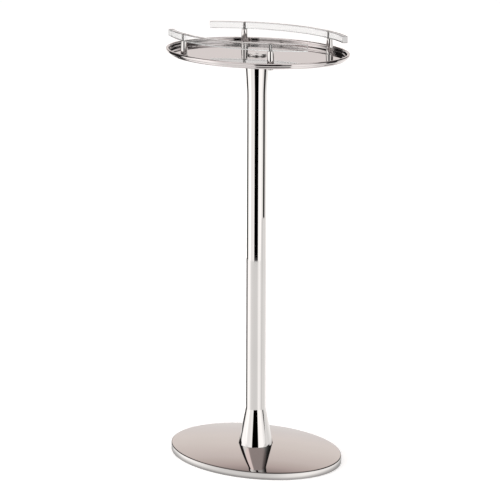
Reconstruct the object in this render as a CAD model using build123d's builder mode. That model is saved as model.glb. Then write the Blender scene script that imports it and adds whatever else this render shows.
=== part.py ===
from build123d import *
import math
import os

os.makedirs("parts", exist_ok=True)

FULL_TURN = 360

# ---------------------------------------------------------------- foot
PAD_PROUD = 0.5
PAD_RADIUS = 8.0
PAD_RECESS = 2.0
PAD_SPOTS = ((112, 0), (56, 74), (-56, 74), (-112, 0), (-56, -74), (56, -74))
BASE_HALF_LENGTH = 140.0
BASE_HALF_WIDTH = 107.0
BASE_UNDER_Z = PAD_PROUD
BASE_EDGE_Z = 11.0
BASE_SEAT_Z = 18.4
BASE_CROWN_Z = 19.0
BASE_CROWN = BASE_CROWN_Z - BASE_EDGE_Z
BASE_CROWN_RADIUS = (BASE_HALF_WIDTH**2 + BASE_CROWN**2) / (2 * BASE_CROWN)
BASE_STRETCH = BASE_HALF_LENGTH / BASE_HALF_WIDTH
BASE_TOP_ROUNDING = 1.2
BASE_UNDER_CHAMFER = 0.4
NUT_RECESS_RADIUS = 13.0
NUT_RECESS_ROOF_Z = 7.0
BASE_WASHER_RADIUS = 10.0
BASE_WASHER_THICKNESS = 1.5
NUT_ACROSS_FLATS = 13.0
NUT_HEIGHT = 4.0
NUT_UNDER_Z = NUT_RECESS_ROOF_Z - BASE_WASHER_THICKNESS - NUT_HEIGHT
NUT_CORNER_TAPER = 55

# ---------------------------------------------------------------- column
TUBE_RADIUS = 15.0
TUBE_WALL = 1.5
CONE_FOOT_RADIUS = 26.0
SEAT_SPARE = 0.1
CONE_BREAK_Z = 75.5
CONE_BLEND_RADIUS = 15.0
TUBE_FOOT_Z = 78.0
FLARE_FOOT_Z = 553.0
FLARE_BREAK_Z = 560.0
FLARE_BLEND_RADIUS = 200.0
FLARE_TOP_RADIUS = 18.3
SPIGOT_RADIUS = 13.4
SPIGOT_LENGTH = 22.0
SPIGOT_LEAD_IN = 0.8
ROD_RADIUS = 4.0
ROD_FOOT_Z = 1.2
ROD_HEAD_Z = 612.5
ROD_CLEARANCE = 0.4
ROD_CHAMFER = 0.8
THREAD_GAP = 0.05
DOWEL_RADIUS = 2.0
DOWEL_CHAMFER = 0.4
DOWEL_REACH = 5.0
DOWEL_END_GAP = 0.5
LOWER_DOWEL_X = 18.0
UPPER_DOWEL_X = 13.0

# ---------------------------------------------------------------- tray
SHEET = 1.0
DISC_RADIUS = 45.0
DISC_THICKNESS = 3.0
DISC_CHAMFER = 1.0
TRAY_UNDER_Z = 614.7
DISC_UNDER_Z = TRAY_UNDER_Z - DISC_THICKNESS
FLOOR_Z = TRAY_UNDER_Z + SHEET
RIM_TOP_Z = 623.5
TRAY_HALF_LENGTH = 145.0
TRAY_HALF_WIDTH = 115.0
BEAD_RADIUS = 2.5
WALL_INSET = 3.9
CORNER_RADIUS = 2.0
SLEEVE_RADIUS = 5.0
SLEEVE_HOLE_RADIUS = 5.2
SLEEVE_FOOT_Z = 602.0
SLEEVE_WELL_Z = 600.0
CENTRE_WASHER = 0.5
CENTRE_WASHER_RADIUS = 13.0
CAP_RADIUS = 14.0
CAP_UNDER_Z = FLOOR_Z + CENTRE_WASHER
CAP_THICKNESS = 2.2
CAP_ROUNDING = 1.1
CAP_KEY_ACROSS_FLATS = 5.0
CAP_KEY_DEPTH = 2.5

# ---------------------------------------------------------------- gallery
WELL_SPARE = 1.0
ARC_RADIUS = 197.0
ARC_OFFSET = 106.6
ARC_HALF_ANGLE = 38.5
RAIL_WIDTH = 8.0
RAIL_HEIGHT = 10.0
RAIL_UNDER_Z = 639.0
RAIL_TOP_Z = RAIL_UNDER_Z + RAIL_HEIGHT
RAIL_EDGE_ROUNDING = 0.6
POST_X = 77.4
POST_Y = math.sqrt(ARC_RADIUS**2 - POST_X**2) - ARC_OFFSET
POST_FOOT_RADIUS = 5.6
POST_TOP_RADIUS = 4.3
POST_TOP_CHAMFER = 0.3
RAIL_WASHER = 0.5
RAIL_WASHER_RADIUS = 3.5
POST_TOP_Z = RAIL_UNDER_Z - RAIL_WASHER
SCREW_RADIUS = 2.0
SCREW_HOLE_RADIUS = 2.15
SCREW_HEAD_RADIUS = 3.1
SCREW_SINK_RADIUS = 3.3
SCREW_SINK_ANGLE = 90.0
SCREW_SET_DOWN = 0.15
SCREW_LENGTH = 18.0
SCREW_CROSS_LENGTH = 3.0
SCREW_CROSS_WIDTH = 0.7
SCREW_CROSS_DEPTH = 0.9
BOLT_RADIUS = 2.0
BOLT_HEAD_RADIUS = 3.8
BOLT_HEAD_HEIGHT = 2.6
BOLT_HEAD_ROUNDING = 0.8
BOLT_REACH = 7.0
BOLT_KEY_ACROSS_FLATS = 2.5
BOLT_KEY_DEPTH = 1.4
BOLT_WASHER = 0.8
BOLT_WASHER_RADIUS = 4.5

POST_SPOTS = {
    "front_left": (-POST_X, -POST_Y),
    "front_right": (POST_X, -POST_Y),
    "rear_left": (-POST_X, POST_Y),
    "rear_right": (POST_X, POST_Y),
}


def save(part, name):
    part.label = name
    export_step(part, f"parts/{name}.step")


# ---------------------------------------------------------------- foot parts
# The base plate is drawn round and then stretched to its oval.
with BuildPart() as round_base:
    with BuildSketch(Plane.XZ) as base_section:
        with BuildLine():
            Polyline(
                (0, BASE_CROWN_Z),
                (0, BASE_UNDER_Z),
                (BASE_HALF_WIDTH, BASE_UNDER_Z),
                (BASE_HALF_WIDTH, BASE_EDGE_Z),
            )
            RadiusArc((BASE_HALF_WIDTH, BASE_EDGE_Z), (0, BASE_CROWN_Z), -BASE_CROWN_RADIUS)
        make_face()
        base_rim = base_section.vertices().sort_by_distance((BASE_HALF_WIDTH, BASE_EDGE_Z))[0]
        fillet(base_rim, BASE_TOP_ROUNDING)
        base_heel = base_section.vertices().sort_by_distance((BASE_HALF_WIDTH, BASE_UNDER_Z))[0]
        chamfer(base_heel, BASE_UNDER_CHAMFER)
    revolve(axis=Axis.Z)

with BuildPart() as base_plate:
    add(scale(round_base.part, (BASE_STRETCH, 1, 1)))
    with BuildSketch(Plane.XY.offset(BASE_SEAT_Z)):
        Circle(CONE_FOOT_RADIUS + SEAT_SPARE)
    extrude(amount=BASE_CROWN_Z - BASE_SEAT_Z, mode=Mode.SUBTRACT)
    with BuildSketch(Plane.XY.offset(BASE_UNDER_Z)):
        with Locations(*PAD_SPOTS):
            Circle(PAD_RADIUS + THREAD_GAP)
    extrude(amount=PAD_RECESS, mode=Mode.SUBTRACT)
    with BuildSketch(Plane.XY.offset(BASE_UNDER_Z)):
        Circle(NUT_RECESS_RADIUS)
    extrude(amount=NUT_RECESS_ROOF_Z - BASE_UNDER_Z, mode=Mode.SUBTRACT)
    with BuildSketch(Plane.XY.offset(NUT_RECESS_ROOF_Z)):
        Circle(ROD_RADIUS + ROD_CLEARANCE)
    extrude(amount=BASE_SEAT_Z - NUT_RECESS_ROOF_Z, mode=Mode.SUBTRACT)
    with BuildSketch(Plane.XY.offset(BASE_SEAT_Z)):
        with Locations((LOWER_DOWEL_X, 0)):
            Circle(DOWEL_RADIUS + THREAD_GAP)
    extrude(amount=-DOWEL_REACH - DOWEL_END_GAP, mode=Mode.SUBTRACT)
save(base_plate.part, "base_plate")

with BuildPart() as foot_pads:
    with BuildSketch(Plane.XY):
        with Locations(*PAD_SPOTS):
            Circle(PAD_RADIUS)
    extrude(amount=PAD_PROUD + PAD_RECESS)
save(foot_pads.part, "foot_pads")

with BuildPart() as base_washer:
    with BuildSketch(Plane.XY.offset(NUT_RECESS_ROOF_Z)):
        Circle(BASE_WASHER_RADIUS)
        Circle(ROD_RADIUS + ROD_CLEARANCE, mode=Mode.SUBTRACT)
    extrude(amount=-BASE_WASHER_THICKNESS)
save(base_washer.part, "base_washer")

with BuildPart() as base_nut:
    with BuildSketch(Plane.XY.offset(NUT_UNDER_Z)):
        RegularPolygon(NUT_ACROSS_FLATS / 2, 6, major_radius=False)
    extrude(amount=NUT_HEIGHT)
    with BuildSketch(Plane.XY.offset(NUT_UNDER_Z)):
        Circle(NUT_ACROSS_FLATS / 2)
    extrude(amount=NUT_HEIGHT, taper=-NUT_CORNER_TAPER, mode=Mode.INTERSECT)
    with BuildSketch(Plane.XY.offset(NUT_UNDER_Z)):
        Circle(ROD_RADIUS + THREAD_GAP)
    extrude(amount=NUT_HEIGHT, mode=Mode.SUBTRACT)
save(base_nut.part, "base_nut")

with BuildPart() as lower_dowel:
    with BuildSketch(Plane.XY.offset(BASE_SEAT_Z)):
        with Locations((LOWER_DOWEL_X, 0)):
            Circle(DOWEL_RADIUS)
    extrude(amount=DOWEL_REACH, both=True)
    chamfer(lower_dowel.edges().filter_by(GeomType.CIRCLE), DOWEL_CHAMFER)
save(lower_dowel.part, "lower_dowel")


# ---------------------------------------------------------------- column parts
with BuildPart() as lower_cone:
    with BuildSketch(Plane.XZ) as cone_section:
        with BuildLine():
            Polyline(
                (ROD_RADIUS + ROD_CLEARANCE, BASE_SEAT_Z),
                (CONE_FOOT_RADIUS, BASE_SEAT_Z),
                (TUBE_RADIUS, CONE_BREAK_Z),
                (TUBE_RADIUS, TUBE_FOOT_Z),
                (SPIGOT_RADIUS, TUBE_FOOT_Z),
                (SPIGOT_RADIUS, TUBE_FOOT_Z + SPIGOT_LENGTH),
                (ROD_RADIUS + ROD_CLEARANCE, TUBE_FOOT_Z + SPIGOT_LENGTH),
                close=True,
            )
        make_face()
        cone_waist = cone_section.vertices().sort_by_distance((TUBE_RADIUS, CONE_BREAK_Z))[0]
        fillet(cone_waist, CONE_BLEND_RADIUS)
        cone_corners = cone_section.vertices()
        cone_tip = cone_corners.sort_by_distance((SPIGOT_RADIUS, TUBE_FOOT_Z + SPIGOT_LENGTH))[0]
        chamfer(cone_tip, SPIGOT_LEAD_IN)
    revolve(axis=Axis.Z)
    with BuildSketch(Plane.XY.offset(BASE_SEAT_Z)):
        with Locations((LOWER_DOWEL_X, 0)):
            Circle(DOWEL_RADIUS + THREAD_GAP)
    extrude(amount=DOWEL_REACH + DOWEL_END_GAP, mode=Mode.SUBTRACT)
save(lower_cone.part, "lower_cone")

with BuildPart() as column_tube:
    with BuildSketch(Plane.XY.offset(TUBE_FOOT_Z)):
        Circle(TUBE_RADIUS)
        Circle(TUBE_RADIUS - TUBE_WALL, mode=Mode.SUBTRACT)
    extrude(amount=FLARE_FOOT_Z - TUBE_FOOT_Z)
save(column_tube.part, "column_tube")

with BuildPart() as upper_flare:
    with BuildSketch(Plane.XZ) as flare_section:
        with BuildLine():
            Polyline(
                (SLEEVE_HOLE_RADIUS, DISC_UNDER_Z),
                (FLARE_TOP_RADIUS, DISC_UNDER_Z),
                (TUBE_RADIUS, FLARE_BREAK_Z),
                (TUBE_RADIUS, FLARE_FOOT_Z),
                (SPIGOT_RADIUS, FLARE_FOOT_Z),
                (SPIGOT_RADIUS, FLARE_FOOT_Z - SPIGOT_LENGTH),
                (ROD_RADIUS + ROD_CLEARANCE, FLARE_FOOT_Z - SPIGOT_LENGTH),
                (ROD_RADIUS + ROD_CLEARANCE, SLEEVE_WELL_Z),
                (SLEEVE_HOLE_RADIUS, SLEEVE_WELL_Z),
                close=True,
            )
        make_face()
        flare_neck = flare_section.vertices().sort_by_distance((TUBE_RADIUS, FLARE_BREAK_Z))[0]
        fillet(flare_neck, FLARE_BLEND_RADIUS)
        flare_corners = flare_section.vertices()
        flare_tip = flare_corners.sort_by_distance((SPIGOT_RADIUS, FLARE_FOOT_Z - SPIGOT_LENGTH))[0]
        chamfer(flare_tip, SPIGOT_LEAD_IN)
    revolve(axis=Axis.Z)
    with BuildSketch(Plane.XY.offset(DISC_UNDER_Z)):
        with Locations((UPPER_DOWEL_X, 0)):
            Circle(DOWEL_RADIUS + THREAD_GAP)
    extrude(amount=-DOWEL_REACH - DOWEL_END_GAP, mode=Mode.SUBTRACT)
save(upper_flare.part, "upper_flare")

with BuildPart() as tie_rod:
    with BuildSketch(Plane.XY.offset(ROD_FOOT_Z)):
        Circle(ROD_RADIUS)
    extrude(amount=ROD_HEAD_Z - ROD_FOOT_Z)
    chamfer(tie_rod.edges().filter_by(GeomType.CIRCLE), ROD_CHAMFER)
save(tie_rod.part, "tie_rod")


# ---------------------------------------------------------------- tray parts
with BuildPart() as upper_dowel:
    with BuildSketch(Plane.XY.offset(DISC_UNDER_Z - DOWEL_REACH)):
        with Locations((UPPER_DOWEL_X, 0)):
            Circle(DOWEL_RADIUS)
    extrude(amount=DOWEL_REACH + DISC_THICKNESS)
    chamfer(upper_dowel.edges().filter_by(GeomType.CIRCLE), DOWEL_CHAMFER)
save(upper_dowel.part, "upper_dowel")

with BuildPart() as support_disc:
    with BuildSketch(Plane.XY.offset(DISC_UNDER_Z)):
        Circle(DISC_RADIUS)
        Circle(SLEEVE_HOLE_RADIUS, mode=Mode.SUBTRACT)
        with Locations((UPPER_DOWEL_X, 0)):
            Circle(DOWEL_RADIUS + THREAD_GAP, mode=Mode.SUBTRACT)
    extrude(amount=DISC_THICKNESS)
    disc_rim = support_disc.edges().group_by(Axis.Z)[0].sort_by(SortBy.LENGTH)[-1]
    chamfer(disc_rim, DISC_CHAMFER)
save(support_disc.part, "support_disc")

with BuildPart() as tray:
    with BuildSketch(Plane.XY.offset(TRAY_UNDER_Z)):
        Ellipse(TRAY_HALF_LENGTH - WALL_INSET, TRAY_HALF_WIDTH - WALL_INSET)
    extrude(amount=RIM_TOP_Z - BEAD_RADIUS - TRAY_UNDER_Z)
    with BuildSketch(Plane.XY.offset(FLOOR_Z)):
        Ellipse(TRAY_HALF_LENGTH - WALL_INSET - SHEET, TRAY_HALF_WIDTH - WALL_INSET - SHEET)
    extrude(amount=RIM_TOP_Z - FLOOR_Z, mode=Mode.SUBTRACT)
    fillet(tray.edges().filter_by_position(Axis.Z, FLOOR_Z, FLOOR_Z), CORNER_RADIUS)
    fillet(tray.edges().group_by(Axis.Z)[0], CORNER_RADIUS + SHEET)
    with BuildSketch(Plane.XY.offset(TRAY_UNDER_Z)):
        Circle(SLEEVE_HOLE_RADIUS)
        with Locations(*POST_SPOTS.values()):
            Circle(BOLT_RADIUS + ROD_CLEARANCE)
    extrude(amount=SHEET, mode=Mode.SUBTRACT)
    with BuildLine(Plane.XY.offset(RIM_TOP_Z - BEAD_RADIUS)):
        EllipticalCenterArc(
            (0, 0),
            TRAY_HALF_LENGTH - BEAD_RADIUS,
            TRAY_HALF_WIDTH - BEAD_RADIUS,
            arc_size=FULL_TURN,
        )
    with BuildSketch(Plane.XZ):
        with Locations((TRAY_HALF_LENGTH - BEAD_RADIUS, RIM_TOP_Z - BEAD_RADIUS)):
            Circle(BEAD_RADIUS)
    sweep()
save(tray.part, "tray")

with BuildPart() as centre_washer:
    with BuildSketch(Plane.XY.offset(FLOOR_Z)):
        Circle(CENTRE_WASHER_RADIUS)
        Circle(SLEEVE_HOLE_RADIUS, mode=Mode.SUBTRACT)
    extrude(amount=CENTRE_WASHER)
save(centre_washer.part, "centre_washer")

with BuildPart() as centre_cap:
    with BuildSketch(Plane.XY.offset(CAP_UNDER_Z)):
        Circle(CAP_RADIUS)
    extrude(amount=CAP_THICKNESS)
    fillet(centre_cap.edges().group_by(Axis.Z)[-1], CAP_ROUNDING)
    with BuildSketch(Plane.XY.offset(CAP_UNDER_Z + CAP_THICKNESS)):
        RegularPolygon(CAP_KEY_ACROSS_FLATS / 2, 6, major_radius=False)
    extrude(amount=-CAP_KEY_DEPTH, mode=Mode.SUBTRACT)
    with BuildSketch(Plane.XY.offset(SLEEVE_FOOT_Z)):
        Circle(SLEEVE_RADIUS)
    extrude(amount=CAP_UNDER_Z - SLEEVE_FOOT_Z)
    with BuildSketch(Plane.XY.offset(SLEEVE_FOOT_Z)):
        Circle(ROD_RADIUS + THREAD_GAP)
    extrude(amount=ROD_HEAD_Z + WELL_SPARE - SLEEVE_FOOT_Z, mode=Mode.SUBTRACT)
save(centre_cap.part, "centre_cap")


# ---------------------------------------------------------------- gallery parts
def rail_post(x, y):
    """Tapered post standing on the tray floor, drilled from both ends."""
    with BuildPart() as post:
        with BuildSketch(Plane((x, y, FLOOR_Z))):
            Circle(POST_FOOT_RADIUS)
        with BuildSketch(Plane((x, y, POST_TOP_Z))):
            Circle(POST_TOP_RADIUS)
        loft()
        chamfer(post.edges().group_by(Axis.Z)[-1], POST_TOP_CHAMFER)
        with BuildSketch(Plane((x, y, FLOOR_Z))):
            Circle(BOLT_RADIUS + THREAD_GAP)
        extrude(amount=BOLT_REACH + WELL_SPARE, mode=Mode.SUBTRACT)
        with BuildSketch(Plane((x, y, POST_TOP_Z))):
            Circle(SCREW_RADIUS + THREAD_GAP)
        extrude(amount=RAIL_TOP_Z - SCREW_LENGTH - WELL_SPARE - POST_TOP_Z, mode=Mode.SUBTRACT)
    return post.part


for corner, (spot_x, spot_y) in POST_SPOTS.items():
    save(rail_post(spot_x, spot_y), f"post_{corner}")

with BuildPart() as rail_washers:
    with BuildSketch(Plane.XY.offset(POST_TOP_Z)):
        with Locations(*POST_SPOTS.values()):
            Circle(RAIL_WASHER_RADIUS)
            Circle(SCREW_HOLE_RADIUS, mode=Mode.SUBTRACT)
    extrude(amount=RAIL_WASHER)
save(rail_washers.part, "rail_washers")

with BuildPart() as post_bolt_washers:
    with BuildSketch(Plane.XY.offset(TRAY_UNDER_Z)):
        with Locations(*POST_SPOTS.values()):
            Circle(BOLT_WASHER_RADIUS)
            Circle(BOLT_RADIUS + ROD_CLEARANCE, mode=Mode.SUBTRACT)
    extrude(amount=-BOLT_WASHER)
save(post_bolt_washers.part, "post_bolt_washers")

with BuildPart() as post_bolts:
    head_seat_z = TRAY_UNDER_Z - BOLT_WASHER
    with BuildSketch(Plane.XY.offset(head_seat_z)):
        with Locations(*POST_SPOTS.values()):
            Circle(BOLT_HEAD_RADIUS)
    extrude(amount=-BOLT_HEAD_HEIGHT)
    fillet(post_bolts.edges().group_by(Axis.Z)[0], BOLT_HEAD_ROUNDING)
    with BuildSketch(Plane.XY.offset(head_seat_z - BOLT_HEAD_HEIGHT)):
        with Locations(*POST_SPOTS.values()):
            RegularPolygon(BOLT_KEY_ACROSS_FLATS / 2, 6, major_radius=False)
    extrude(amount=BOLT_KEY_DEPTH, mode=Mode.SUBTRACT)
    with BuildSketch(Plane.XY.offset(head_seat_z)):
        with Locations(*POST_SPOTS.values()):
            Circle(BOLT_RADIUS)
    extrude(amount=FLOOR_Z + BOLT_REACH - head_seat_z)
save(post_bolts.part, "post_bolts")


def gallery_rail(side):
    """Curved bar on the rear (side = 1) or front (side = -1), drilled and countersunk twice."""
    hole_spots = [(-POST_X, side * POST_Y, RAIL_TOP_Z), (POST_X, side * POST_Y, RAIL_TOP_Z)]
    arc_start = side * 90 - ARC_HALF_ANGLE
    with BuildPart() as rail:
        with BuildSketch(Plane.XY.offset(RAIL_UNDER_Z)):
            with BuildLine():
                middle = (0, -side * ARC_OFFSET)
                inside = CenterArc(middle, ARC_RADIUS - RAIL_WIDTH / 2, arc_start, 2 * ARC_HALF_ANGLE)
                outside = CenterArc(middle, ARC_RADIUS + RAIL_WIDTH / 2, arc_start, 2 * ARC_HALF_ANGLE)
                Line(inside @ 0, outside @ 0)
                Line(inside @ 1, outside @ 1)
            make_face()
        extrude(amount=RAIL_HEIGHT)
        fillet(rail.edges(), RAIL_EDGE_ROUNDING)
        with Locations(*hole_spots):
            CounterSinkHole(SCREW_HOLE_RADIUS, SCREW_SINK_RADIUS, counter_sink_angle=SCREW_SINK_ANGLE)
    return rail.part


def rail_screws(side):
    """Pair of countersunk cross-slot screws that hold one rail to its two posts."""
    spots = [(-POST_X, side * POST_Y), (POST_X, side * POST_Y)]
    head_z = RAIL_TOP_Z - SCREW_SET_DOWN
    with BuildPart() as screws:
        with BuildSketch(Plane.XY.offset(head_z)):
            with Locations(*spots):
                Circle(SCREW_HEAD_RADIUS)
        extrude(amount=SCREW_RADIUS - SCREW_HEAD_RADIUS, taper=SCREW_SINK_ANGLE / 2)
        with BuildSketch(Plane.XY.offset(RAIL_TOP_Z - SCREW_LENGTH)):
            with Locations(*spots):
                Circle(SCREW_RADIUS)
        extrude(amount=SCREW_LENGTH - SCREW_SET_DOWN)
        with BuildSketch(Plane.XY.offset(head_z)):
            with Locations(*spots):
                Rectangle(SCREW_CROSS_LENGTH, SCREW_CROSS_WIDTH)
                Rectangle(SCREW_CROSS_WIDTH, SCREW_CROSS_LENGTH)
        extrude(amount=-SCREW_CROSS_DEPTH, mode=Mode.SUBTRACT)
    return screws.part


for rail_name, rail_side in (("rear_rail", 1), ("front_rail", -1)):
    save(gallery_rail(rail_side), rail_name)
    save(rail_screws(rail_side), f"{rail_name}_screws")
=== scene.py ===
"""Polished oval bucket stand with two clear gallery bars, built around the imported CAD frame."""
import math

import bpy
from mathutils import Matrix, Vector


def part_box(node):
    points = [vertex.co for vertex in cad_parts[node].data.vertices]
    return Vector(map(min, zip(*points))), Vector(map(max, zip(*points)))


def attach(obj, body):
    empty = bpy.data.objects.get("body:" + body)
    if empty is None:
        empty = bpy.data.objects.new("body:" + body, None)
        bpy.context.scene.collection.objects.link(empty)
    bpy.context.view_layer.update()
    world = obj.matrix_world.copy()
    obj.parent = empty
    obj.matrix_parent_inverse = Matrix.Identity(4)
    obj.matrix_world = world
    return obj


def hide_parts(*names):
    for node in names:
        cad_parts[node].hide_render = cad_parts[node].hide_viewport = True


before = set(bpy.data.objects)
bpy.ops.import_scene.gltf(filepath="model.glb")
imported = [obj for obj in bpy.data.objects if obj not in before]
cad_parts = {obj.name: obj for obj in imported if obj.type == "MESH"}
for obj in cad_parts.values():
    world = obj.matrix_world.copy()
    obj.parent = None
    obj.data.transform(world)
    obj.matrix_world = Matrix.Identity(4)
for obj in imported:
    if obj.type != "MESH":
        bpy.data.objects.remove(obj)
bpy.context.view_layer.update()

MM = 0.001
TAU = 2 * math.pi

# ------------------------------------------------------------------ camera
CAMERA_BEARING = math.radians(35.83)
CAMERA_TURN = math.radians(0.163)
CAMERA_DOWN = math.radians(14.02)
CAMERA_ROLL = math.radians(0.178)
CAMERA_REACH = 3.3816
CAMERA_HEIGHT = 1.1657
CAMERA_LENS = 167.8
SENSOR_WIDTH = 36
SIGHT_LIMIT = 50


def add_camera():
    """Long-lens camera in front and to the right, looking down at the stand."""
    heading = CAMERA_BEARING + CAMERA_TURN
    forward = Vector((
        -math.sin(heading) * math.cos(CAMERA_DOWN),
        math.cos(heading) * math.cos(CAMERA_DOWN),
        -math.sin(CAMERA_DOWN),
    ))
    level = Vector((math.cos(heading), math.sin(heading), 0))
    upward = level.cross(forward)
    right = level * math.cos(CAMERA_ROLL) + upward * math.sin(CAMERA_ROLL)
    up = right.cross(forward)
    place = Vector((
        CAMERA_REACH * math.sin(CAMERA_BEARING),
        -CAMERA_REACH * math.cos(CAMERA_BEARING),
        CAMERA_HEIGHT,
    ))
    data = bpy.data.cameras.new("camera")
    data.lens = CAMERA_LENS
    data.sensor_width = SENSOR_WIDTH
    data.clip_end = SIGHT_LIMIT
    camera = bpy.data.objects.new("camera", data)
    bpy.context.scene.collection.objects.link(camera)
    turn = Matrix((right, up, -forward)).transposed().to_4x4()
    camera.matrix_world = Matrix.Translation(place) @ turn
    bpy.context.scene.camera = camera


# ------------------------------------------------------------------ nodes
def new_material(name):
    material = bpy.data.materials.new(name)
    material.use_nodes = True
    shader = material.node_tree.nodes["Principled BSDF"]
    return material, material.node_tree, shader


def add_node(tree, kind, **values):
    node = tree.nodes.new(kind)
    for key, value in values.items():
        setattr(node, key, value)
    return node


def math_node(tree, operation, *values):
    node = add_node(tree, "ShaderNodeMath", operation=operation)
    for socket, value in zip(node.inputs, values):
        if isinstance(value, (int, float)):
            socket.default_value = value
        else:
            tree.links.new(value, socket)
    return node.outputs[0]


def map_range(tree, value, low, high, to_low=0.0, to_high=1.0, smooth=True):
    node = add_node(tree, "ShaderNodeMapRange")
    if smooth:
        node.interpolation_type = "SMOOTHSTEP"
    tree.links.new(value, node.inputs["Value"])
    node.inputs["From Min"].default_value = low
    node.inputs["From Max"].default_value = high
    node.inputs["To Min"].default_value = to_low
    node.inputs["To Max"].default_value = to_high
    return node.outputs["Result"]


def object_noise(tree, scale, detail=3.0, stretch=(1, 1, 1), roughness=0.5):
    where = add_node(tree, "ShaderNodeTexCoord")
    mapping = add_node(tree, "ShaderNodeMapping")
    mapping.inputs["Scale"].default_value = stretch
    noise = add_node(tree, "ShaderNodeTexNoise")
    noise.inputs["Scale"].default_value = scale
    noise.inputs["Detail"].default_value = detail
    noise.inputs["Roughness"].default_value = roughness
    tree.links.new(where.outputs["Object"], mapping.inputs["Vector"])
    tree.links.new(mapping.outputs["Vector"], noise.inputs["Vector"])
    return noise.outputs["Fac"]


def add_bump(tree, shader, height, distance):
    bump = add_node(tree, "ShaderNodeBump")
    bump.inputs["Strength"].default_value = 1.0
    bump.inputs["Distance"].default_value = distance
    tree.links.new(height, bump.inputs["Height"])
    tree.links.new(bump.outputs["Normal"], shader.inputs["Normal"])


def ramp_colour(tree, factor, low, high, start=0.3, end=0.7):
    ramp = add_node(tree, "ShaderNodeValToRGB")
    ramp.color_ramp.elements[0].position = start
    ramp.color_ramp.elements[0].color = (*low, 1)
    ramp.color_ramp.elements[1].position = end
    ramp.color_ramp.elements[1].color = (*high, 1)
    tree.links.new(factor, ramp.inputs["Fac"])
    return ramp.outputs["Color"]


def mix_colour(tree, factor, first, second):
    mix = add_node(tree, "ShaderNodeMix", data_type="RGBA")
    for socket in mix.inputs:
        if socket.enabled and socket.name == "Factor":
            tree.links.new(factor, socket)
        elif socket.enabled and socket.name == "A":
            tree.links.new(first, socket)
        elif socket.enabled and socket.name == "B":
            tree.links.new(second, socket)
    return next(socket for socket in mix.outputs if socket.enabled)


def flat_colour(tree, colour):
    node = add_node(tree, "ShaderNodeRGB")
    node.outputs[0].default_value = (*colour, 1)
    return node.outputs[0]


def object_place(tree):
    """X, Y and Z of the shaded point in the piece's own frame, which is the stand's."""
    where = add_node(tree, "ShaderNodeTexCoord")
    split = add_node(tree, "ShaderNodeSeparateXYZ")
    tree.links.new(where.outputs["Object"], split.inputs["Vector"])
    return split.outputs


# ------------------------------------------------------------------ materials
STEEL_TONES = ((0.600, 0.585, 0.575), (0.630, 0.612, 0.602))
# Painted shade: the tray is the same steel, with its colour set 14 to 17% darker to stand for its darker
# reflections.
TRAY_PAINTED_SHADE_TONES = ((0.516, 0.488, 0.485), (0.544, 0.512, 0.508))
# Painted reflection: a dark line painted into the foot's steel colour along its rounded edge, all the way
# round.
PAINTED_REFLECTION_LINE_TONE = (0.10, 0.09, 0.087)
PAINTED_REFLECTION_LINE_WIDTH = 0.9 * MM
PAINTED_REFLECTION_LINE_FADE = 0.2 * MM
STEEL_ROUGHNESS = (0.015, 0.05)
BUFFING_DEPTH = 0.0015 * MM


def polished_steel(name, tones=STEEL_TONES, painted_reflection_line=None):
    """Mirror-polished stainless: faint tone drift, polish haze and very fine buffing marks.

    A painted reflection line is a (low, high) span of heights in which the steel's colour is painted darker,
    standing for a dark reflection in the rounded edge.
    """
    material, tree, shader = new_material(name)
    shader.inputs["Metallic"].default_value = 1
    drift = object_noise(tree, scale=9, detail=2)
    tone = ramp_colour(tree, drift, *tones)
    # Painted reflection: the steel's colour turns dark within the given span of heights.
    if painted_reflection_line:
        low, high = painted_reflection_line
        z = object_place(tree)["Z"]
        rising = map_range(tree, z, low - PAINTED_REFLECTION_LINE_FADE, low)
        falling = map_range(tree, z, high, high + PAINTED_REFLECTION_LINE_FADE, 1, 0)
        share = math_node(tree, "MULTIPLY", rising, falling)
        tone = mix_colour(tree, share, tone, flat_colour(tree, PAINTED_REFLECTION_LINE_TONE))
    tree.links.new(tone, shader.inputs["Base Color"])
    haze = object_noise(tree, scale=38, detail=5, roughness=0.65)
    tree.links.new(map_range(tree, haze, 0.35, 0.75, *STEEL_ROUGHNESS), shader.inputs["Roughness"])
    buffing = object_noise(tree, scale=900, detail=2, stretch=(1, 1, 0.06))
    add_bump(tree, shader, buffing, BUFFING_DEPTH)
    return material


ZINC_TONES = ((0.42, 0.42, 0.41), (0.56, 0.56, 0.54))
ZINC_ROUGHNESS = (0.26, 0.42)
ZINC_GRAIN_DEPTH = 0.01 * MM


def satin_zinc():
    """Zinc-plated hardware: slightly mottled grey with a soft sheen."""
    material, tree, shader = new_material("satin_zinc")
    shader.inputs["Metallic"].default_value = 1
    mottle = object_noise(tree, scale=260, detail=4)
    tree.links.new(ramp_colour(tree, mottle, *ZINC_TONES), shader.inputs["Base Color"])
    tree.links.new(map_range(tree, mottle, 0.3, 0.7, *ZINC_ROUGHNESS), shader.inputs["Roughness"])
    add_bump(tree, shader, object_noise(tree, scale=1400, detail=2), ZINC_GRAIN_DEPTH)
    return material


RAIL_OFFSET = 106.6 * MM
RAIL_HALF_SWEEP = math.radians(38.5)
RAIL_END_FADE = (math.radians(0.15), math.radians(0.03))
# Painted shade: the bars' colour turns darker towards their top and bottom long edges, by height.
RAIL_PAINTED_EDGE_SHADE_FADE = (1.3 * MM, 0.5 * MM)
# The first tone is the bar's faint grey tint; the second is the painted edge shade.
ACRYLIC_TINT_AND_EDGE_SHADE_TONES = ((0.925, 0.935, 0.935), (0.52, 0.53, 0.53))
ACRYLIC_IOR = 1.49
ACRYLIC_HAZE = 0.03
ACRYLIC_WAVE_DEPTH = 0.004 * MM
SAWN_CLEARNESS = 0.25
SAWN_ROUGHNESS = 0.3


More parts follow.
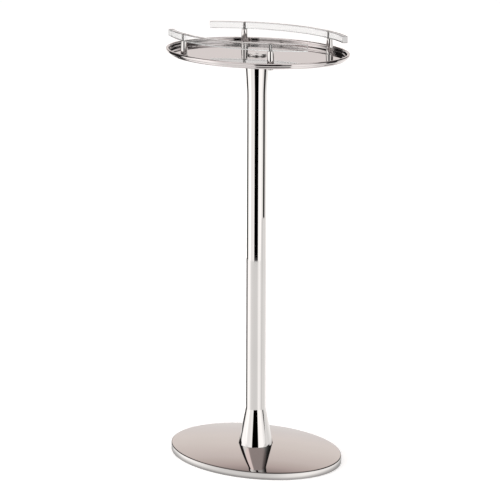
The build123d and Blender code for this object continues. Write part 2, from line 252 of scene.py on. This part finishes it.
def clear_acrylic():
    """Polished clear acrylic bar: faint grey body, painted shade along its long edges, sawn ends."""
    material, tree, shader = new_material("clear_acrylic")
    place = object_place(tree)
    low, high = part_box("rear_rail")
    middle = (low.z + high.z) / 2
    half = (high.z - low.z) / 2
    off_middle = math_node(tree, "ABSOLUTE", math_node(tree, "SUBTRACT", place["Z"], middle))
    # Painted shade along the bar's top and bottom edges.
    edge = map_range(tree, off_middle, half - RAIL_PAINTED_EDGE_SHADE_FADE[0], half - RAIL_PAINTED_EDGE_SHADE_FADE[1])
    drift = math_node(tree, "MULTIPLY", object_noise(tree, scale=45, detail=2), 0.08)
    body = ramp_colour(tree, math_node(tree, "ADD", edge, drift), *ACRYLIC_TINT_AND_EDGE_SHADE_TONES, start=0.0, end=1.0)
    tree.links.new(body, shader.inputs["Base Color"])
    across = math_node(tree, "ABSOLUTE", place["X"])
    along = math_node(tree, "ADD", math_node(tree, "ABSOLUTE", place["Y"]), RAIL_OFFSET)
    sweep = math_node(tree, "ARCTAN2", across, along)
    sawn = map_range(tree, sweep, RAIL_HALF_SWEEP - RAIL_END_FADE[0], RAIL_HALF_SWEEP - RAIL_END_FADE[1])
    tree.links.new(map_range(tree, sawn, 0, 1, 1, SAWN_CLEARNESS), shader.inputs["Transmission Weight"])
    shader.inputs["IOR"].default_value = ACRYLIC_IOR
    haze = map_range(tree, object_noise(tree, scale=120, detail=3), 0.4, 0.8, 0.0, ACRYLIC_HAZE)
    satin = math_node(tree, "MULTIPLY", sawn, SAWN_ROUGHNESS)
    tree.links.new(math_node(tree, "MAXIMUM", haze, satin), shader.inputs["Roughness"])
    add_bump(tree, shader, object_noise(tree, scale=60, detail=2), ACRYLIC_WAVE_DEPTH)
    return material


NYLON_TONES = ((0.78, 0.78, 0.76), (0.88, 0.88, 0.86))
NYLON_CLEARNESS = 0.6
NYLON_ROUGHNESS = 0.35


def clear_nylon():
    """Milky translucent washer."""
    material, tree, shader = new_material("clear_nylon")
    cloud = object_noise(tree, scale=300, detail=2)
    tree.links.new(ramp_colour(tree, cloud, *NYLON_TONES), shader.inputs["Base Color"])
    shader.inputs["Transmission Weight"].default_value = NYLON_CLEARNESS
    shader.inputs["Roughness"].default_value = NYLON_ROUGHNESS
    return material


RUBBER_TONES = ((0.012, 0.012, 0.012), (0.04, 0.04, 0.038))
RUBBER_ROUGHNESS = (0.6, 0.85)
RUBBER_GRAIN_DEPTH = 0.15 * MM


def black_rubber():
    """Matte moulded rubber with a pebbled skin."""
    material, tree, shader = new_material("black_rubber")
    pebble = object_noise(tree, scale=700, detail=4)
    tree.links.new(ramp_colour(tree, pebble, *RUBBER_TONES), shader.inputs["Base Color"])
    tree.links.new(map_range(tree, pebble, 0.3, 0.7, *RUBBER_ROUGHNESS), shader.inputs["Roughness"])
    add_bump(tree, shader, pebble, RUBBER_GRAIN_DEPTH)
    return material


# ------------------------------------------------------------------ mesh tools
SMOOTH_LIMIT = math.radians(35)


def make_piece(name, verts, faces, material):
    mesh = bpy.data.meshes.new(name)
    mesh.from_pydata(verts, [], faces)
    mesh.validate()
    mesh.shade_smooth()
    mesh.set_sharp_from_angle(angle=SMOOTH_LIMIT)
    mesh.materials.append(material)
    piece = bpy.data.objects.new(name, mesh)
    bpy.context.scene.collection.objects.link(piece)
    return piece


def stitch(rings, first_tip=None, last_tip=None):
    """Joins rings of equal length into a skin. A tip is a single point that closes the first or last ring."""
    count = len(rings[0])
    verts = [point for ring in rings for point in ring]
    faces = []
    for row in range(len(rings) - 1):
        for i in range(count):
            j = (i + 1) % count
            faces.append((row * count + i, row * count + j, (row + 1) * count + j, (row + 1) * count + i))
    if first_tip is not None:
        verts.append(first_tip)
        faces += [(len(verts) - 1, (i + 1) % count, i) for i in range(count)]
    if last_tip is not None:
        verts.append(last_tip)
        start = (len(rings) - 1) * count
        faces += [(len(verts) - 1, start + i, start + (i + 1) % count) for i in range(count)]
    return verts, faces


def circle_ring(radius, z, centre=(0, 0), count=128):
    return [
        (centre[0] + radius * math.cos(TAU * i / count), centre[1] + radius * math.sin(TAU * i / count), z)
        for i in range(count)
    ]


def rounded(points, radii, steps=8):
    """Polyline of (distance, z) points with each inner corner turned into an arc of its own radius."""
    path = [points[0]]
    for before, corner, after, radius in zip(points, points[1:], points[2:], radii):
        if radius == 0:
            path.append(corner)
            continue
        corner_v = Vector(corner)
        into = (Vector(before) - corner_v).normalized()
        out = (Vector(after) - corner_v).normalized()
        half = into.angle(out) / 2
        reach = radius / math.tan(half)
        middle = corner_v + (into + out).normalized() * (radius / math.sin(half))
        start = corner_v + into * reach - middle
        sweep = math.pi - 2 * half
        sign = 1 if start.cross(corner_v + out * reach - middle) > 0 else -1
        for k in range(steps + 1):
            angle = sign * sweep * k / steps
            turn = Matrix.Rotation(angle, 2)
            path.append(tuple(middle + turn @ start))
    path.append(points[-1])
    return path


def lathe(name, path, material, centre=(0, 0), count=128):
    """Turned piece from a path of (radius, z). A radius of 0 at either end closes it on the axis."""
    first_tip = (*centre, path[0][1]) if path[0][0] == 0 else None
    last_tip = (*centre, path[-1][1]) if path[-1][0] == 0 else None
    inner = [p for p in path if p[0] > 0]
    rings = [circle_ring(r, z, centre, count) for r, z in inner]
    if first_tip is None and last_tip is None:
        rings.append(rings[0])
    return make_piece(name, *stitch(rings, first_tip, last_tip), material)


def lifted_oval(half_length, half_width, outward, z, count=360):
    """Oval ring moved outward along its own normals."""
    ring = []
    for i in range(count):
        t = TAU * i / count
        c, s = math.cos(t), math.sin(t)
        nx, ny = half_width * c, half_length * s
        size = math.hypot(nx, ny)
        ring.append((half_length * c + outward * nx / size, half_width * s + outward * ny / size, z))
    return ring


def subdivided(path, longest):
    """The same path with long straight runs split, so that rings stay close together."""
    out = [path[0]]
    for a, b in zip(path, path[1:]):
        parts = max(1, math.ceil(math.dist(a, b) / longest))
        for k in range(1, parts + 1):
            out.append((a[0] + (b[0] - a[0]) * k / parts, a[1] + (b[1] - a[1]) * k / parts))
    return out


# ------------------------------------------------------------------ pieces from the frame
def stand_in(piece, node):
    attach(piece, "root")
    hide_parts(node)


BASE_EDGE_Z = 11 * MM
BASE_SEAT_Z = 18.4 * MM
BASE_CROWN_Z = 19 * MM
BASE_ROUNDING = 1.2 * MM
BASE_CHAMFER = 0.4 * MM
BASE_COLUMNS = 360
BASE_RINGS = 60
CONE_SEAT_RADIUS = 26.1 * MM
SEAT_INNER_SHARE = 0.7
SEAT_OUTER_SHARE = 1.25
HEEL_SHARES = (0.985, 0.96)
NUT_RECESS_RADIUS = 13 * MM
NUT_RECESS_ROOF_Z = 7 * MM


def build_base_plate(steel):
    """Domed oval plate: a ball's cap stretched along X, with a level seat for the cone and a recess below."""
    low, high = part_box("base_plate")
    half_width = high.y
    stretch = high.x / half_width
    crown = BASE_CROWN_Z - BASE_EDGE_Z
    ball = (half_width**2 + crown**2) / (2 * crown)

    def dome_z(r):
        return BASE_CROWN_Z - ball + math.sqrt(ball**2 - r**2)

    start = CONE_SEAT_RADIUS / stretch
    spots = [start + (half_width - start) * k / BASE_RINGS for k in range(BASE_RINGS + 1)]
    dome = [(r, dome_z(r)) for r in spots]
    corner = dome.pop()
    while dome[-1][0] > half_width - 2 * BASE_ROUNDING:
        dome.pop()
    heel = [(half_width, low.z), (half_width - BASE_CHAMFER, low.z)]
    section = rounded([dome[-1], corner, heel[0], heel[1]], [BASE_ROUNDING, BASE_CHAMFER], 10)
    profile = dome[:-1] + section
    turns = [TAU * i / BASE_COLUMNS for i in range(BASE_COLUMNS)]
    rings = [circle_ring(CONE_SEAT_RADIUS * SEAT_INNER_SHARE, BASE_SEAT_Z, count=BASE_COLUMNS)]
    seat = circle_ring(CONE_SEAT_RADIUS, BASE_SEAT_Z, count=BASE_COLUMNS)
    rings.append(seat)
    rings.append([(x, y, dome_z(math.hypot(x / stretch, y))) for x, y, _ in seat])
    for r, z in profile:
        if r > SEAT_OUTER_SHARE * CONE_SEAT_RADIUS:
            rings.append([(r * stretch * math.cos(t), r * math.sin(t), z) for t in turns])
    heel_oval = rings[-1]
    for share in HEEL_SHARES:
        rings.append([(share * x, share * y, low.z) for x, y, _ in heel_oval])
    rings.append(circle_ring(NUT_RECESS_RADIUS, low.z, count=BASE_COLUMNS))
    rings.append(circle_ring(NUT_RECESS_RADIUS, NUT_RECESS_ROOF_Z, count=BASE_COLUMNS))
    verts, faces = stitch(rings, (0, 0, BASE_SEAT_Z), (0, 0, NUT_RECESS_ROOF_Z))
    piece = make_piece("base_plate_polished", verts, faces, steel)
    stand_in(piece, "base_plate")


CONE_BREAK_Z = 75.5 * MM
CONE_BLEND = 15 * MM
CONE_FOOT_EASE = 0.3 * MM
TUBE_WALL = 1.5 * MM
FLARE_BREAK_Z = 560 * MM
FLARE_BLEND = 200 * MM
FLARE_TOP_EASE = 0.2 * MM
BLEND_STEPS = 24
TURNED_STEP = 6 * MM
TUBE_STEP = 20 * MM


def build_lower_cone(steel):
    low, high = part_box("lower_cone")
    tube_low, tube_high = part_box("column_tube")
    waist = tube_high.x
    path = rounded(
        [(0, low.z), (high.x, low.z), (waist, CONE_BREAK_Z), (waist, tube_low.z), (0, tube_low.z)],
        [CONE_FOOT_EASE, CONE_BLEND, 0],
        BLEND_STEPS,
    )
    piece = lathe("lower_cone_polished", subdivided(path, TURNED_STEP), steel)
    stand_in(piece, "lower_cone")


def build_column_tube(steel):
    low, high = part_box("column_tube")
    outer, inner = high.x, high.x - TUBE_WALL
    path = [(inner, low.z), (outer, low.z), (outer, high.z), (inner, high.z)]
    piece = lathe("column_tube_polished", subdivided(path, TUBE_STEP), steel)
    stand_in(piece, "column_tube")


def build_upper_flare(steel):
    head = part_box("upper_flare")[1]
    tube_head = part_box("column_tube")[1]
    neck = tube_head.x
    path = rounded(
        [(0, tube_head.z), (neck, tube_head.z), (neck, FLARE_BREAK_Z), (head.x, head.z), (0, head.z)],
        [0, FLARE_BLEND, FLARE_TOP_EASE],
        BLEND_STEPS,
    )
    piece = lathe("upper_flare_polished", subdivided(path, TURNED_STEP), steel)
    stand_in(piece, "upper_flare")


SHEET = 1 * MM
BEAD = 2.5 * MM
WALL_INSET = 3.9 * MM
CORNER = 2.0 * MM
BEAD_STEPS = 40
BEAD_SQUARING = 0.8
CORNER_STEPS = 12
FLOOR_MARGIN = 16 * MM
FLOOR_SHARES = (0.05, 0.2, 0.4, 0.6, 0.8, 0.93)
UNDER_SHARES = (0.93, 0.6, 0.2)


def wall_turn(wall):
    """Angle at which the squared roll meets a wall this far in from the outermost line."""
    return math.acos(abs(wall + BEAD) ** (1 / BEAD_SQUARING) / BEAD ** (1 / BEAD_SQUARING))


def build_tray(steel):
    """Oval dish of one sheet: level floor, steep wall and a rolled bead that closes on the wall."""
    low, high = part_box("tray")
    half_length, half_width = high.x, high.y
    floor = low.z + SHEET
    wall_in = -(WALL_INSET + SHEET)
    wall_out = -WALL_INSET
    bead_z = high.z - BEAD
    inner_turn = math.pi + wall_turn(wall_in)
    outer_turn = wall_turn(wall_out) - math.pi
    roll = []
    for k in range(BEAD_STEPS + 1):
        angle = inner_turn + (outer_turn - inner_turn) * k / BEAD_STEPS
        across = math.copysign(abs(math.cos(angle)) ** BEAD_SQUARING, math.cos(angle))
        up = math.copysign(abs(math.sin(angle)) ** BEAD_SQUARING, math.sin(angle))
        roll.append((-BEAD + BEAD * across, bead_z + BEAD * up))
    inside = rounded([(-FLOOR_MARGIN, floor), (wall_in, floor), roll[0]], [CORNER], CORNER_STEPS)
    outside = rounded([roll[-1], (wall_out, low.z), (-FLOOR_MARGIN, low.z)], [CORNER + SHEET], CORNER_STEPS)
    section = inside[:-1] + roll + outside[1:]
    edge = lifted_oval(half_length, half_width, -FLOOR_MARGIN, floor)
    floor_rings = [[(share * x, share * y, floor) for x, y, _ in edge] for share in FLOOR_SHARES]
    wall_rings = [lifted_oval(half_length, half_width, out, z) for out, z in section]
    under_rings = [[(share * x, share * y, low.z) for x, y, _ in edge] for share in UNDER_SHARES]
    verts, faces = stitch(floor_rings + wall_rings + under_rings, (0, 0, floor), (0, 0, low.z))
    piece = make_piece("tray_polished", verts, faces, steel)
    stand_in(piece, "tray")


CAP_KEY_RADIUS = 2.5 * MM
CAP_KEY_DEPTH = 2.4 * MM
CAP_EASES = (0, 0.25 * MM, 1.1 * MM, 0.2 * MM)
CAP_STEPS = 8


def build_centre_cap(steel):
    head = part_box("centre_cap")[1]
    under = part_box("centre_washer")[1].z
    key_floor = head.z - CAP_KEY_DEPTH
    key = [(0, key_floor), (CAP_KEY_RADIUS, key_floor), (CAP_KEY_RADIUS, head.z)]
    path = rounded(key + [(head.x, head.z), (head.x, under), (0, under)], CAP_EASES, CAP_STEPS)
    piece = lathe("centre_cap_polished", path, steel)
    stand_in(piece, "centre_cap")


POST_TAPER = 4.3 / 5.6
POST_EASES = (0.25 * MM, 0.3 * MM)
POST_EASE_STEPS = 5
POST_STEP = 2.5 * MM
POST_COLUMNS = 96


def build_posts(steel):
    for side in ("front", "rear"):
        for hand in ("left", "right"):
            node = f"post_{side}_{hand}"
            low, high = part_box(node)
            middle = (low + high) / 2
            foot = (high.x - low.x) / 2
            section = [(0, low.z), (foot, low.z), (foot * POST_TAPER, high.z), (0, high.z)]
            path = subdivided(rounded(section, POST_EASES, POST_EASE_STEPS), POST_STEP)
            piece = lathe(node + "_polished", path, steel, (middle.x, middle.y), POST_COLUMNS)
            stand_in(piece, node)


# ------------------------------------------------------------------ parts that keep their CAD shape
KEPT = {
    "foot_pads": "rubber",
    "base_washer": "zinc",
    "base_nut": "zinc",
    "tie_rod": "zinc",
    "lower_dowel": "zinc",
    "upper_dowel": "zinc",
    "support_disc": "zinc",
    "centre_washer": "nylon",
    "rail_washers": "nylon",
    "post_bolt_washers": "zinc",
    "post_bolts": "zinc",
    "rear_rail": "acrylic",
    "front_rail": "acrylic",
    "rear_rail_screws": "steel",
    "front_rail_screws": "steel",
}


def dress_kept_parts(finishes):
    for node, finish in KEPT.items():
        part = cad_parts[node]
        for slot in part.material_slots:
            slot.material = finishes[finish]


# ------------------------------------------------------------------ studio
STUDIO_GAIN = 2.2
WARM = (1.012, 0.997, 0.985)
PLUM = (1.10, 0.95, 0.93)


def stop_ramp(tree, factor, stops):
    """Ramp over a 0 to 1 factor, from (position, red, green, blue) stops."""
    ramp = add_node(tree, "ShaderNodeValToRGB")
    elements = ramp.color_ramp.elements
    while len(elements) > 1:
        elements.remove(elements[-1])
    for k, (position, red, green, blue) in enumerate(stops):
        element = elements[0] if k == 0 else elements.new(position)
        element.position = position
        element.color = (red, green, blue, 1)
    tree.links.new(factor, ramp.inputs["Fac"])
    return ramp.outputs["Color"]


def tint(level, colour=WARM):
    """Grey of this radiance with a slight colour, as a share of the studio gain."""
    return tuple(level / STUDIO_GAIN * part for part in colour)


# Radiance round the stand, as (degrees from the camera's side, level) rows. The first four are
# zones of the room from the floor up; the last two are the table far from and near the foot.
# The levels were worked out from the photo's tones by mirrored direction, then adjusted.
LOW_DEGREES = [
    (-180, 1.5),
    (-146, 1.5),
    (-141, 0.03),
    (-113, 0.03),
    (-108, 1.6),
    (-72, 1.75),
    (-64, 1.36),
    (-52, 1.27),
    (-40, 1.36),
    (-30, 1.4),
    (-26, 1.35),
    (-25, 0.0),
    (17, 0.0),
    (18.5, 1.55),
    (50, 1.6),
    (58, 1.42),
    (66, 1.3),
    (75, 1.1),
    (78, 0.04),
    (102, 0.04),
    (106, 1.1),
    (125, 1.3),
    (150, 1.4),
    (180, 1.5),
]
MIDDLE_DEGREES = [
    (-180, 0.9),
    (-168, 0.9),
    (-164, 0.02),
    (-114, 0.02),
    (-108, 0.3),
    (-100, 1.2),
    (-92, 2.0),
    (-78, 2.0),
    (-66, 1.45),
    (-60, 0.75),
    (-30, 0.65),
    (-26, 0.7),
    (-25, 0.0),
    (4, 0.0),
    (6, 1.0),
    (14, 1.5),
    (34, 1.5),
    (44, 0.9),
    (50, 0.5),
    (62, 0.2),
    (70, 0.12),
    (92, 0.12),
    (97, 0.02),
    (160, 0.02),
    (166, 0.9),
    (180, 0.9),
]
UPPER_DEGREES = [
    (-180, 0.02),
    (-112, 0.02),
    (-106, 1.5),
    (-72, 1.5),
    (-62, 1.2),
    (-40, 0.95),
    (-26, 0.8),
    (-24, 0.0),
    (4, 0.0),
    (8, 0.75),
    (50, 0.75),
    (65, 0.5),
    (80, 0.3),
    (100, 0.1),
    (118, 0.03),
    (180, 0.02),
]
TOP_DEGREES = [
    (-180, 0.05),
    (-112, 0.02),
    (-106, 1.5),
    (-64, 1.5),
    (-54, 0.6),
    (-40, 0.55),
    (50, 0.55),
    (67, 0.5),
    (82, 0.27),
    (100, 0.15),
    (125, 0.03),
    (180, 0.05),
]
TABLE_DEGREES = [
    (-180, 1.2),
    (-168, 1.2),
    (-164, 0.1),
    (-122, 0.1),
    (-116, 1.3),
    (-105, 1.6),
    (-84, 1.55),
    (-76, 1.5),
    (-66, 1.2),
    (-56, 1.05),
    (-40, 1.0),
    (-20, 0.97),
    (8, 0.97),
    (16, 1.1),
    (24, 1.3),
    (32, 1.45),
    (44, 1.33),
    (56, 1.15),
    (64, 0.95),
    (70, 0.82),
    (76, 1.0),
    (84, 1.1),
    (99, 1.0),
    (112, 1.1),
    (130, 1.2),
    (180, 1.2),
]
NEAR_DEGREES = [
    (-180, 1.3),
    (-150, 1.3),
    (-138, 1.2),
    (-135, 0.05),
    (-129, 0.05),
    (-125, 0.7),
    (-115, 0.75),
    (-106, 0.95),
    (-97, 1.5),
    (-90, 1.35),
    (-77, 1.5),
    (-65, 1.4),
    (-56, 1.27),
    (-46, 1.1),
    (-34, 0.97),
    (4, 0.92),
    (12, 1.02),
    (20, 1.2),
    (34, 1.35),
    (53, 1.25),
    (75, 1.1),
    (84, 1.1),
    (89, 0.9),
    (105, 1.1),
    (118, 0.8),
    (125, 0.5),
    (135, 0.7),
    (150, 1.2),
    (180, 1.3),
]
TABLE_RADIUS = 1.225
TABLE_LOBE = 0.375
TABLE_SINK = 0.0005
TABLE_COLUMNS = 256
LOBE_DEGREES = (50, 130)
LOBE_RAMP_DEGREES = 10
FOOT_LENGTH = 0.140
FOOT_WIDTH = 0.107
NEAR_REACH = (1.35, 1.6)
# Painted contact shadow: the table's glow is dimmed close to the foot.
CONTACT_SHADOW_REACH = (1.0, 1.15)
CONTACT_SHADOW_LEVELS = (0.35, 1.03)


def turn_stops(rows, colour=WARM):
    """Stops over a whole turn, from (degrees from the camera's side, radiance) rows."""
    return [((degrees + 180) / 360, *tint(level, colour)) for degrees, level in rows]


def turn_share(tree, vector):
    """Turn round the stand from the camera's side, as 0 to 1 over a whole turn, in radians, and the height."""
    turned = add_node(tree, "ShaderNodeVectorRotate", rotation_type="Z_AXIS")
    turned.inputs["Angle"].default_value = -CAMERA_BEARING
    tree.links.new(vector, turned.inputs["Vector"])
    split = add_node(tree, "ShaderNodeSeparateXYZ")
    tree.links.new(turned.outputs["Vector"], split.inputs["Vector"])
    toward = math_node(tree, "MULTIPLY", split.outputs["Y"], -1.0)
    around = math_node(tree, "ARCTAN2", split.outputs["X"], toward)
    share = map_range(tree, around, -math.pi, math.pi, smooth=False)
    return share, around, split.outputs["Z"]


# The zone of the room behind the stand, as (degrees of elevation, red, green, blue) rows, rounded
# from the photo's tones on the foot's top divided by the steel's reflectance.
REAR_DEGREES = [
    (-20, 0.95, 0.95, 0.95),
    (0, 0.93, 0.91, 0.89),
    (9, 0.91, 0.85, 0.83),
    (15, 0.965, 0.88, 0.84),
    (20, 0.955, 0.865, 0.82),
    (24.5, 0.89, 0.79, 0.75),
    (28, 0.83, 0.73, 0.695),
    (30, 0.75, 0.65, 0.61),
    (32, 0.67, 0.56, 0.53),
    (34, 0.50, 0.41, 0.39),
    (37, 0.20, 0.16, 0.15),
    (90, 0.05, 0.04, 0.04),
]

# Elevations in degrees between which one zone of the room gives way to the next.
MIDDLE_RISE = (8.2, 8.7)
UPPER_RISE = (24, 28)
TOP_RISE = (38, 42)
CEILING_RISE = (57, 60)
REAR_RISE = (-4, 1)
REAR_SPREAD = (math.radians(160), math.radians(168))
CEILING_LEVEL = 1.6
SEEN_THROUGH_LEVEL = 1.0
SEEN_THROUGH_SHARE = 0.85


def rise_stops(rows):
    """Stops over the sine of the elevation, from (degrees, red, green, blue) rows."""
    return [
        ((math.sin(math.radians(degrees)) + 1) / 2, *(level / STUDIO_GAIN for level in levels))
        for degrees, *levels in rows
    ]


def rise_share(tree, height, rise):
    """0 to 1 between two elevations in degrees. A direction's height is the sine of its elevation."""
    low, high = (math.sin(math.radians(degrees)) for degrees in rise)
    return map_range(tree, height, low, high)


def build_world():
    """Studio that the polish mirrors. What shows through the clear bars is close to plain white."""
    world = bpy.data.worlds.new("studio")
    world.use_nodes = True
    bpy.context.scene.world = world
    tree = world.node_tree
    background = tree.nodes["Background"]
    where = add_node(tree, "ShaderNodeTexCoord")
    share, around, height = turn_share(tree, where.outputs["Generated"])
    room = stop_ramp(tree, share, turn_stops(LOW_DEGREES))
    zones = (
        (MIDDLE_RISE, stop_ramp(tree, share, turn_stops(MIDDLE_DEGREES))),
        (UPPER_RISE, stop_ramp(tree, share, turn_stops(UPPER_DEGREES))),
        (TOP_RISE, stop_ramp(tree, share, turn_stops(TOP_DEGREES, PLUM))),
        (CEILING_RISE, flat_colour(tree, tint(CEILING_LEVEL))),
    )
    for zone_rise, zone in zones:
        room = mix_colour(tree, rise_share(tree, height, zone_rise), room, zone)
    rise = map_range(tree, height, -1, 1, smooth=False)
    rear = stop_ramp(tree, rise, rise_stops(REAR_DEGREES))
    behind = map_range(tree, math_node(tree, "ABSOLUTE", around), *REAR_SPREAD)
    above = rise_share(tree, height, REAR_RISE)
    room = mix_colour(tree, math_node(tree, "MULTIPLY", behind, above), room, rear)
    path = add_node(tree, "ShaderNodeLightPath")
    through = math_node(tree, "MULTIPLY", path.outputs["Is Transmission Ray"], SEEN_THROUGH_SHARE)
    room = mix_colour(tree, through, room, flat_colour(tree, tint(SEEN_THROUGH_LEVEL)))
    tree.links.new(room, background.inputs["Color"])
    background.inputs["Strength"].default_value = STUDIO_GAIN


def table_ring():
    """Table outline with a wider lobe on the camera's right."""
    ring = []
    for i in range(TABLE_COLUMNS):
        around = TAU * i / TABLE_COLUMNS
        degrees = math.degrees(around)
        inside_lobe = min(degrees - LOBE_DEGREES[0], LOBE_DEGREES[1] - degrees) / LOBE_RAMP_DEGREES
        radius = TABLE_RADIUS + TABLE_LOBE * max(0.0, min(1.0, inside_lobe))
        heading = CAMERA_BEARING + around
        ring.append((radius * math.sin(heading), -radius * math.cos(heading), -TABLE_SINK))
    return ring


def build_table():
    """Glowing table top round the foot that only the mirror finish sees, with a painted contact shadow close
    to the foot.
    """
    material = bpy.data.materials.new("table_glow")
    material.use_nodes = True
    tree = material.node_tree
    tree.nodes.clear()
    where = add_node(tree, "ShaderNodeTexCoord")
    share, _, _ = turn_share(tree, where.outputs["Object"])
    far = stop_ramp(tree, share, turn_stops(TABLE_DEGREES))
    near = stop_ramp(tree, share, turn_stops(NEAR_DEGREES))
    shrink = add_node(tree, "ShaderNodeMapping")
    shrink.inputs["Scale"].default_value = (1 / FOOT_LENGTH, 1 / FOOT_WIDTH, 0)
    tree.links.new(where.outputs["Object"], shrink.inputs["Vector"])
    reach = add_node(tree, "ShaderNodeVectorMath", operation="LENGTH")
    tree.links.new(shrink.outputs["Vector"], reach.inputs[0])
    fade = map_range(tree, reach.outputs["Value"], *NEAR_REACH)
    # Painted contact shadow: dims the table's glow near the foot.
    painted_contact_shadow = map_range(tree, reach.outputs["Value"], *CONTACT_SHADOW_REACH, *CONTACT_SHADOW_LEVELS)
    glow = add_node(tree, "ShaderNodeEmission")
    tree.links.new(mix_colour(tree, fade, near, far), glow.inputs["Color"])
    tree.links.new(math_node(tree, "MULTIPLY", painted_contact_shadow, STUDIO_GAIN), glow.inputs["Strength"])
    output = add_node(tree, "ShaderNodeOutputMaterial")
    tree.links.new(glow.outputs["Emission"], output.inputs["Surface"])
    verts, faces = stitch([table_ring()], (0, 0, -TABLE_SINK))
    table = make_piece("studio_table", verts, faces, material)
    table.visible_camera = False
    table.visible_diffuse = False
    table.visible_transmission = False
    table.visible_shadow = False


FLOOR_HALF = 30.0
FLOOR_TONES = ((0.90, 0.90, 0.90), (0.93, 0.93, 0.93))
FLOOR_ROUGHNESS = 0.9
FLOOR_GLOW = 0.3


def build_floor():
    """Plain pale floor that the camera sees and the mirror finish does not."""
    material, tree, shader = new_material("studio_floor")
    speckle = object_noise(tree, scale=40, detail=2)
    tree.links.new(ramp_colour(tree, speckle, *FLOOR_TONES), shader.inputs["Base Color"])
    shader.inputs["Roughness"].default_value = FLOOR_ROUGHNESS
    shader.inputs["Specular IOR Level"].default_value = 0.0
    shader.inputs["Emission Color"].default_value = (1, 1, 1, 1)
    shader.inputs["Emission Strength"].default_value = FLOOR_GLOW
    h = FLOOR_HALF
    corners = [(-h, -h, 0), (h, -h, 0), (h, h, 0), (-h, h, 0)]
    floor = make_piece("studio_floor", corners, [(0, 1, 2, 3)], material)
    floor.visible_glossy = False


SOFTBOX_SIZE = 3
SOFTBOX_POWER = 40
SOFTBOX_HEIGHT = 4


def add_lights():
    softbox = bpy.data.lights.new("overhead_softbox", "AREA")
    softbox.shape = "DISK"
    softbox.size = SOFTBOX_SIZE
    softbox.energy = SOFTBOX_POWER
    lamp = bpy.data.objects.new("overhead_softbox", softbox)
    lamp.location = (0, 0, SOFTBOX_HEIGHT)
    lamp.visible_glossy = False
    bpy.context.scene.collection.objects.link(lamp)


add_camera()
steel = polished_steel("polished_steel_mirror")
# The foot's steel has a dark reflection line painted just under its edge height.
painted_reflection_edge_steel = polished_steel("polished_steel_painted_reflection_edge", painted_reflection_line=(BASE_EDGE_Z - PAINTED_REFLECTION_LINE_WIDTH, BASE_EDGE_Z))
# The tray's steel is painted darker as shade for its darker reflections.
painted_shade_tray_steel = polished_steel("polished_steel_tray_painted_shade", TRAY_PAINTED_SHADE_TONES)
finishes = {
    "steel": steel,
    "zinc": satin_zinc(),
    "acrylic": clear_acrylic(),
    "nylon": clear_nylon(),
    "rubber": black_rubber(),
}
dress_kept_parts(finishes)
build_base_plate(painted_reflection_edge_steel)
build_lower_cone(steel)
build_column_tube(steel)
build_upper_flare(steel)
build_tray(painted_shade_tray_steel)
build_centre_cap(steel)
build_posts(steel)
build_world()
build_table()
build_floor()
add_lights()

scene = bpy.context.scene
scene.view_settings.view_transform = "Standard"
scene.view_settings.look = "None"
